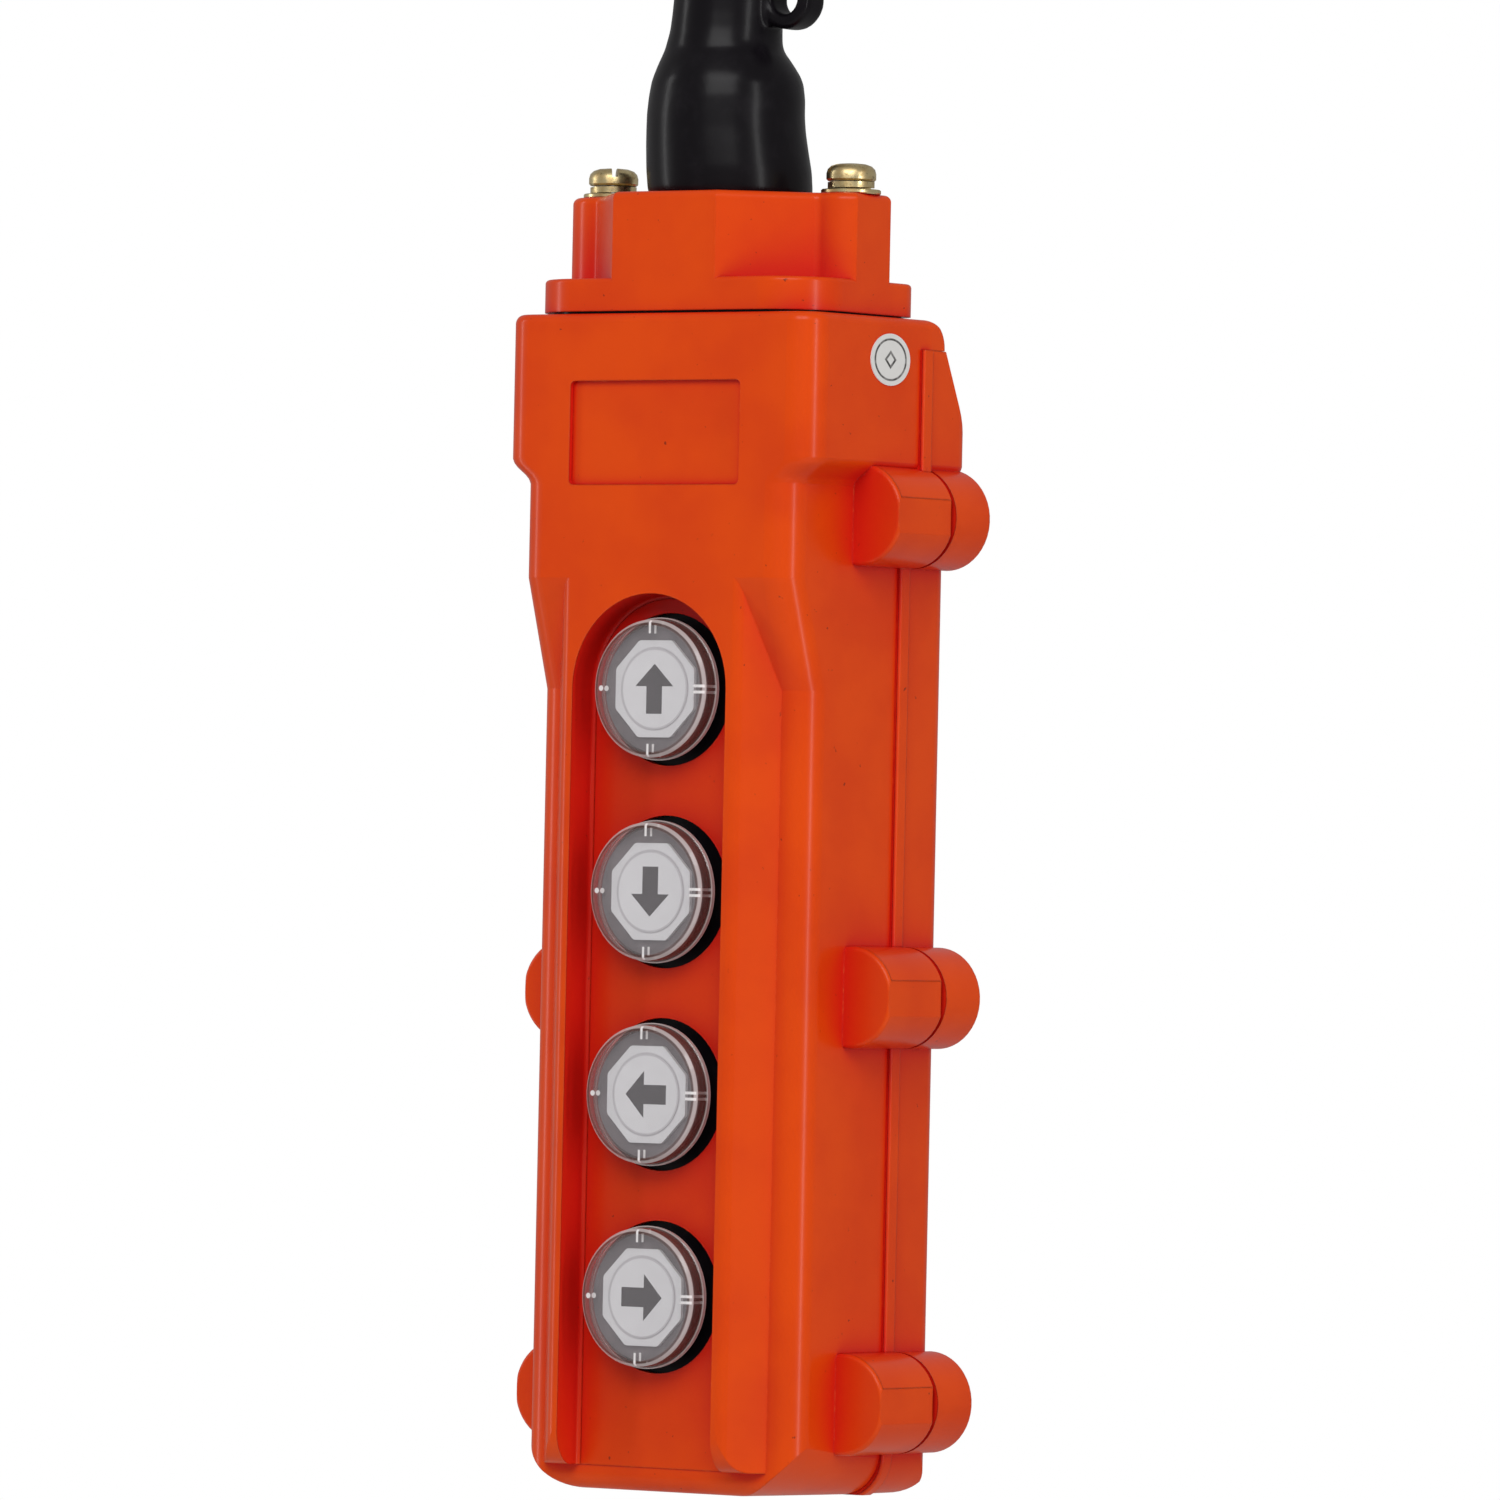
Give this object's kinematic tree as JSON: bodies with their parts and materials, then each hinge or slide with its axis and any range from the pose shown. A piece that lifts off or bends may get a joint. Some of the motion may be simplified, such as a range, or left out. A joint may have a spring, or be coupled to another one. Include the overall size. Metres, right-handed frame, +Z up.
{
  "type": "pendant control station",
  "caption": "Hand-held hoist control pendant: tall moulded enclosure with a column of round arrow push buttons, bolted cable cap and rubber boot.",
  "frame": {"origin": "middle of the cable boot's mouth, on the cable's axis, where the hanging pendant is held", "axes": "+Z up along the cable, out of the boot; -Y out of the front face with the buttons; +X to the right seen from the front"},
  "size_m": [0.09, 0.0529, 0.308],
  "materials": {
    "orange_plastic": "moulded glass-filled plastic, semi-gloss with a faint moulding grain",
    "black_rubber": "satin moulded rubber",
    "zinc_steel": "clear zinc plated",
    "yellow_zinc": "yellow zinc plated",
    "brass": "knurled brass insert",
    "plate_steel": "zinc plated sheet",
    "sticker_film": "printed film",
    "clear_plastic": "clear, slightly smoky",
    "white_plastic": "smooth",
    "dark_print": "printed",
    "grey_plastic": "moulded",
    "copper": "copper alloy strip with silver contacts",
    "spring_steel": "drawn wire",
    "black_plastic": "moulded"
  },
  "bodies": {
    "housing": {"front_shell": "orange_plastic", "back_cover": "orange_plastic", "top_cap": "orange_plastic", "shell_gasket": "black_rubber", "cap_gasket": "black_rubber", "cable_boot": "black_rubber", "cover_screws": "zinc_steel", "plate_screws": "zinc_steel", "cap_screws": "yellow_zinc", "cap_flat_washers": "yellow_zinc", "cap_spring_washers": "yellow_zinc", "cover_screw_inserts": "brass", "cap_screw_inserts": "brass", "mounting_plate": "plate_steel", "approval_sticker": "sticker_film", "fixed_contacts_up": "copper", "return_spring_up": "spring_steel", "seal_up": "black_rubber", "guide_bush_up": "black_plastic", "switch_block_up": "black_plastic", "terminal_screws_up": "zinc_steel", "fixed_contacts_down": "copper", "return_spring_down": "spring_steel", "seal_down": "black_rubber", "guide_bush_down": "black_plastic", "switch_block_down": "black_plastic", "terminal_screws_down": "zinc_steel", "fixed_contacts_left": "copper", "return_spring_left": "spring_steel", "seal_left": "black_rubber", "guide_bush_left": "black_plastic", "switch_block_left": "black_plastic", "terminal_screws_left": "zinc_steel", "fixed_contacts_right": "copper", "return_spring_right": "spring_steel", "seal_right": "black_rubber", "guide_bush_right": "black_plastic", "switch_block_right": "black_plastic", "terminal_screws_right": "zinc_steel"},
    "button_up": {"clear_cap_up": "clear_plastic", "legend_up": "white_plastic", "arrow_up": "dark_print", "plunger_up": "grey_plastic", "contact_bridge_up": "copper"},
    "button_down": {"clear_cap_down": "clear_plastic", "legend_down": "white_plastic", "arrow_down": "dark_print", "plunger_down": "grey_plastic", "contact_bridge_down": "copper"},
    "button_left": {"clear_cap_left": "clear_plastic", "legend_left": "white_plastic", "arrow_left": "dark_print", "plunger_left": "grey_plastic", "contact_bridge_left": "copper"},
    "button_right": {"clear_cap_right": "clear_plastic", "legend_right": "white_plastic", "arrow_right": "dark_print", "plunger_right": "grey_plastic", "contact_bridge_right": "copper"}
  },
  "joints": [
    {"name": "press_up", "type": "slide", "parent": "housing", "child": "button_up", "axis": [0, 1, 0], "range_m": [0, 0.004], "stiffness_N_per_m": 800, "springref_m": -0.004, "deforming": ["return_spring_up"]},
    {"name": "press_down", "type": "slide", "parent": "housing", "child": "button_down", "axis": [0, 1, 0], "range_m": [0, 0.004], "stiffness_N_per_m": 800, "springref_m": -0.004, "deforming": ["return_spring_down"]},
    {"name": "press_left", "type": "slide", "parent": "housing", "child": "button_left", "axis": [0, 1, 0], "range_m": [0, 0.004], "stiffness_N_per_m": 800, "springref_m": -0.004, "deforming": ["return_spring_left"]},
    {"name": "press_right", "type": "slide", "parent": "housing", "child": "button_right", "axis": [0, 1, 0], "range_m": [0, 0.004], "stiffness_N_per_m": 800, "springref_m": -0.004, "deforming": ["return_spring_right"]}
  ]
}
